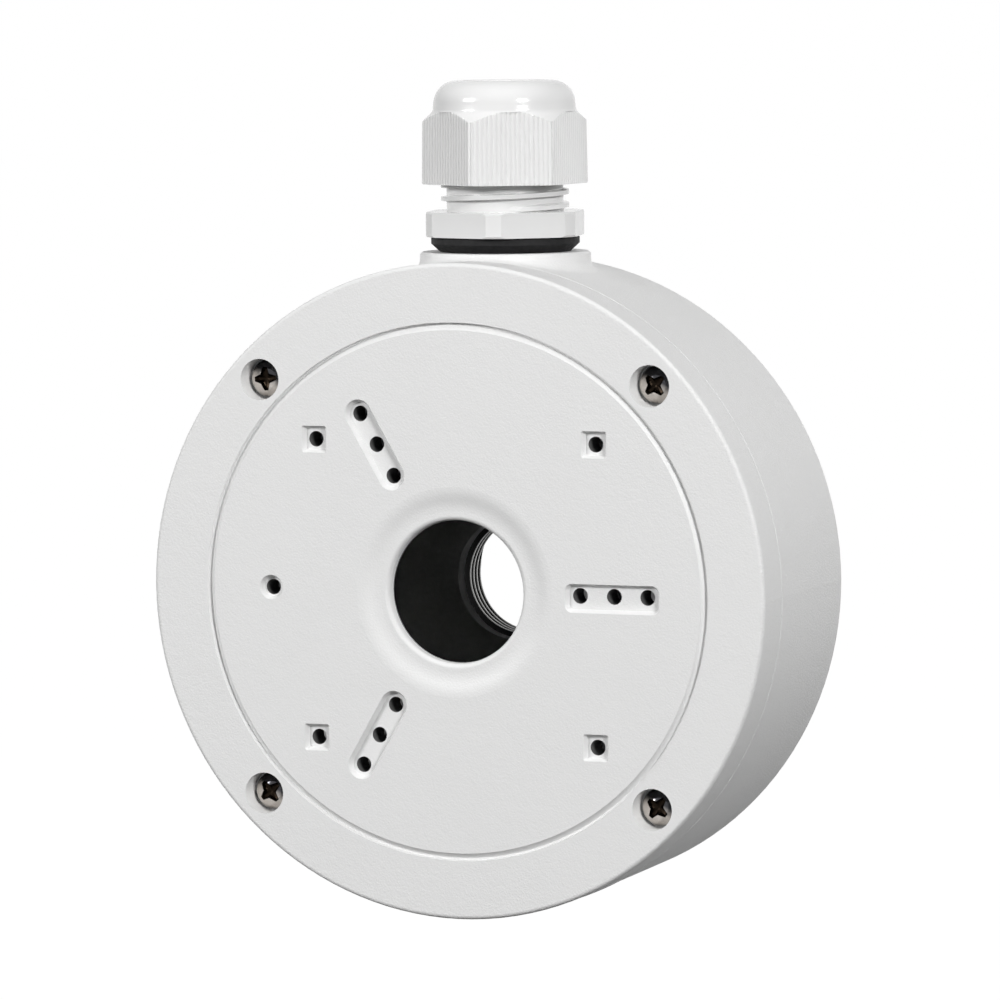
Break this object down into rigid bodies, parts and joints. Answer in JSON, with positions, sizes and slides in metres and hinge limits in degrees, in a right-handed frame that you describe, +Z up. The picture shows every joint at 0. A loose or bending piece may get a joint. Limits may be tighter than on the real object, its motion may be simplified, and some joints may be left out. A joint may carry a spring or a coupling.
{
  "type": "camera junction box",
  "caption": "Round cast wall box with a flat front cover, camera fixing holes, open cable holes front and rear and a screwed cable gland on top.",
  "frame": {"origin": "centre of the back mounting plane, on the drum's axis", "axes": "+X to the right seen from the front, +Y from the front towards the wall, +Z up towards the cable gland; the front face looks along -Y"},
  "size_m": [0.137, 0.0515, 0.1742],
  "materials": {
    "powder_coat": "fine powder coat",
    "nylon": "satin",
    "black_rubber": "matt",
    "screw_steel": "polished"
  },
  "bodies": {
    "box": {"rear_base": "powder_coat", "front_cover": "powder_coat", "cover_seal": "black_rubber", "cover_screw_upper_left": "screw_steel", "cover_screw_upper_right": "screw_steel", "cover_screw_lower_left": "screw_steel", "cover_screw_lower_right": "screw_steel", "gland_body": "nylon", "gland_washer": "black_rubber", "earth_screw": "screw_steel", "earth_spring_washer": "screw_steel", "earth_flat_washer": "screw_steel"},
    "clamp": {"gland_clamp": "nylon", "gland_seal": "black_rubber"},
    "nut": {"gland_nut": "nylon"}
  },
  "joints": [
    {"name": "clamp_slide", "type": "slide", "parent": "box", "child": "clamp", "axis": [0, 0, 1], "range_m": [-0.0052, 0.00551]},
    {"name": "nut_turn", "type": "hinge", "parent": "clamp", "child": "nut", "pos_m": [0, -0.0212, 0.0839], "axis": [0, 0, 1], "range_deg": [-680, 720]}
  ],
  "couplings": [
    {"joint": "clamp_slide", "follows": "nut_turn", "m_per_rad": 0.00043768}
  ]
}
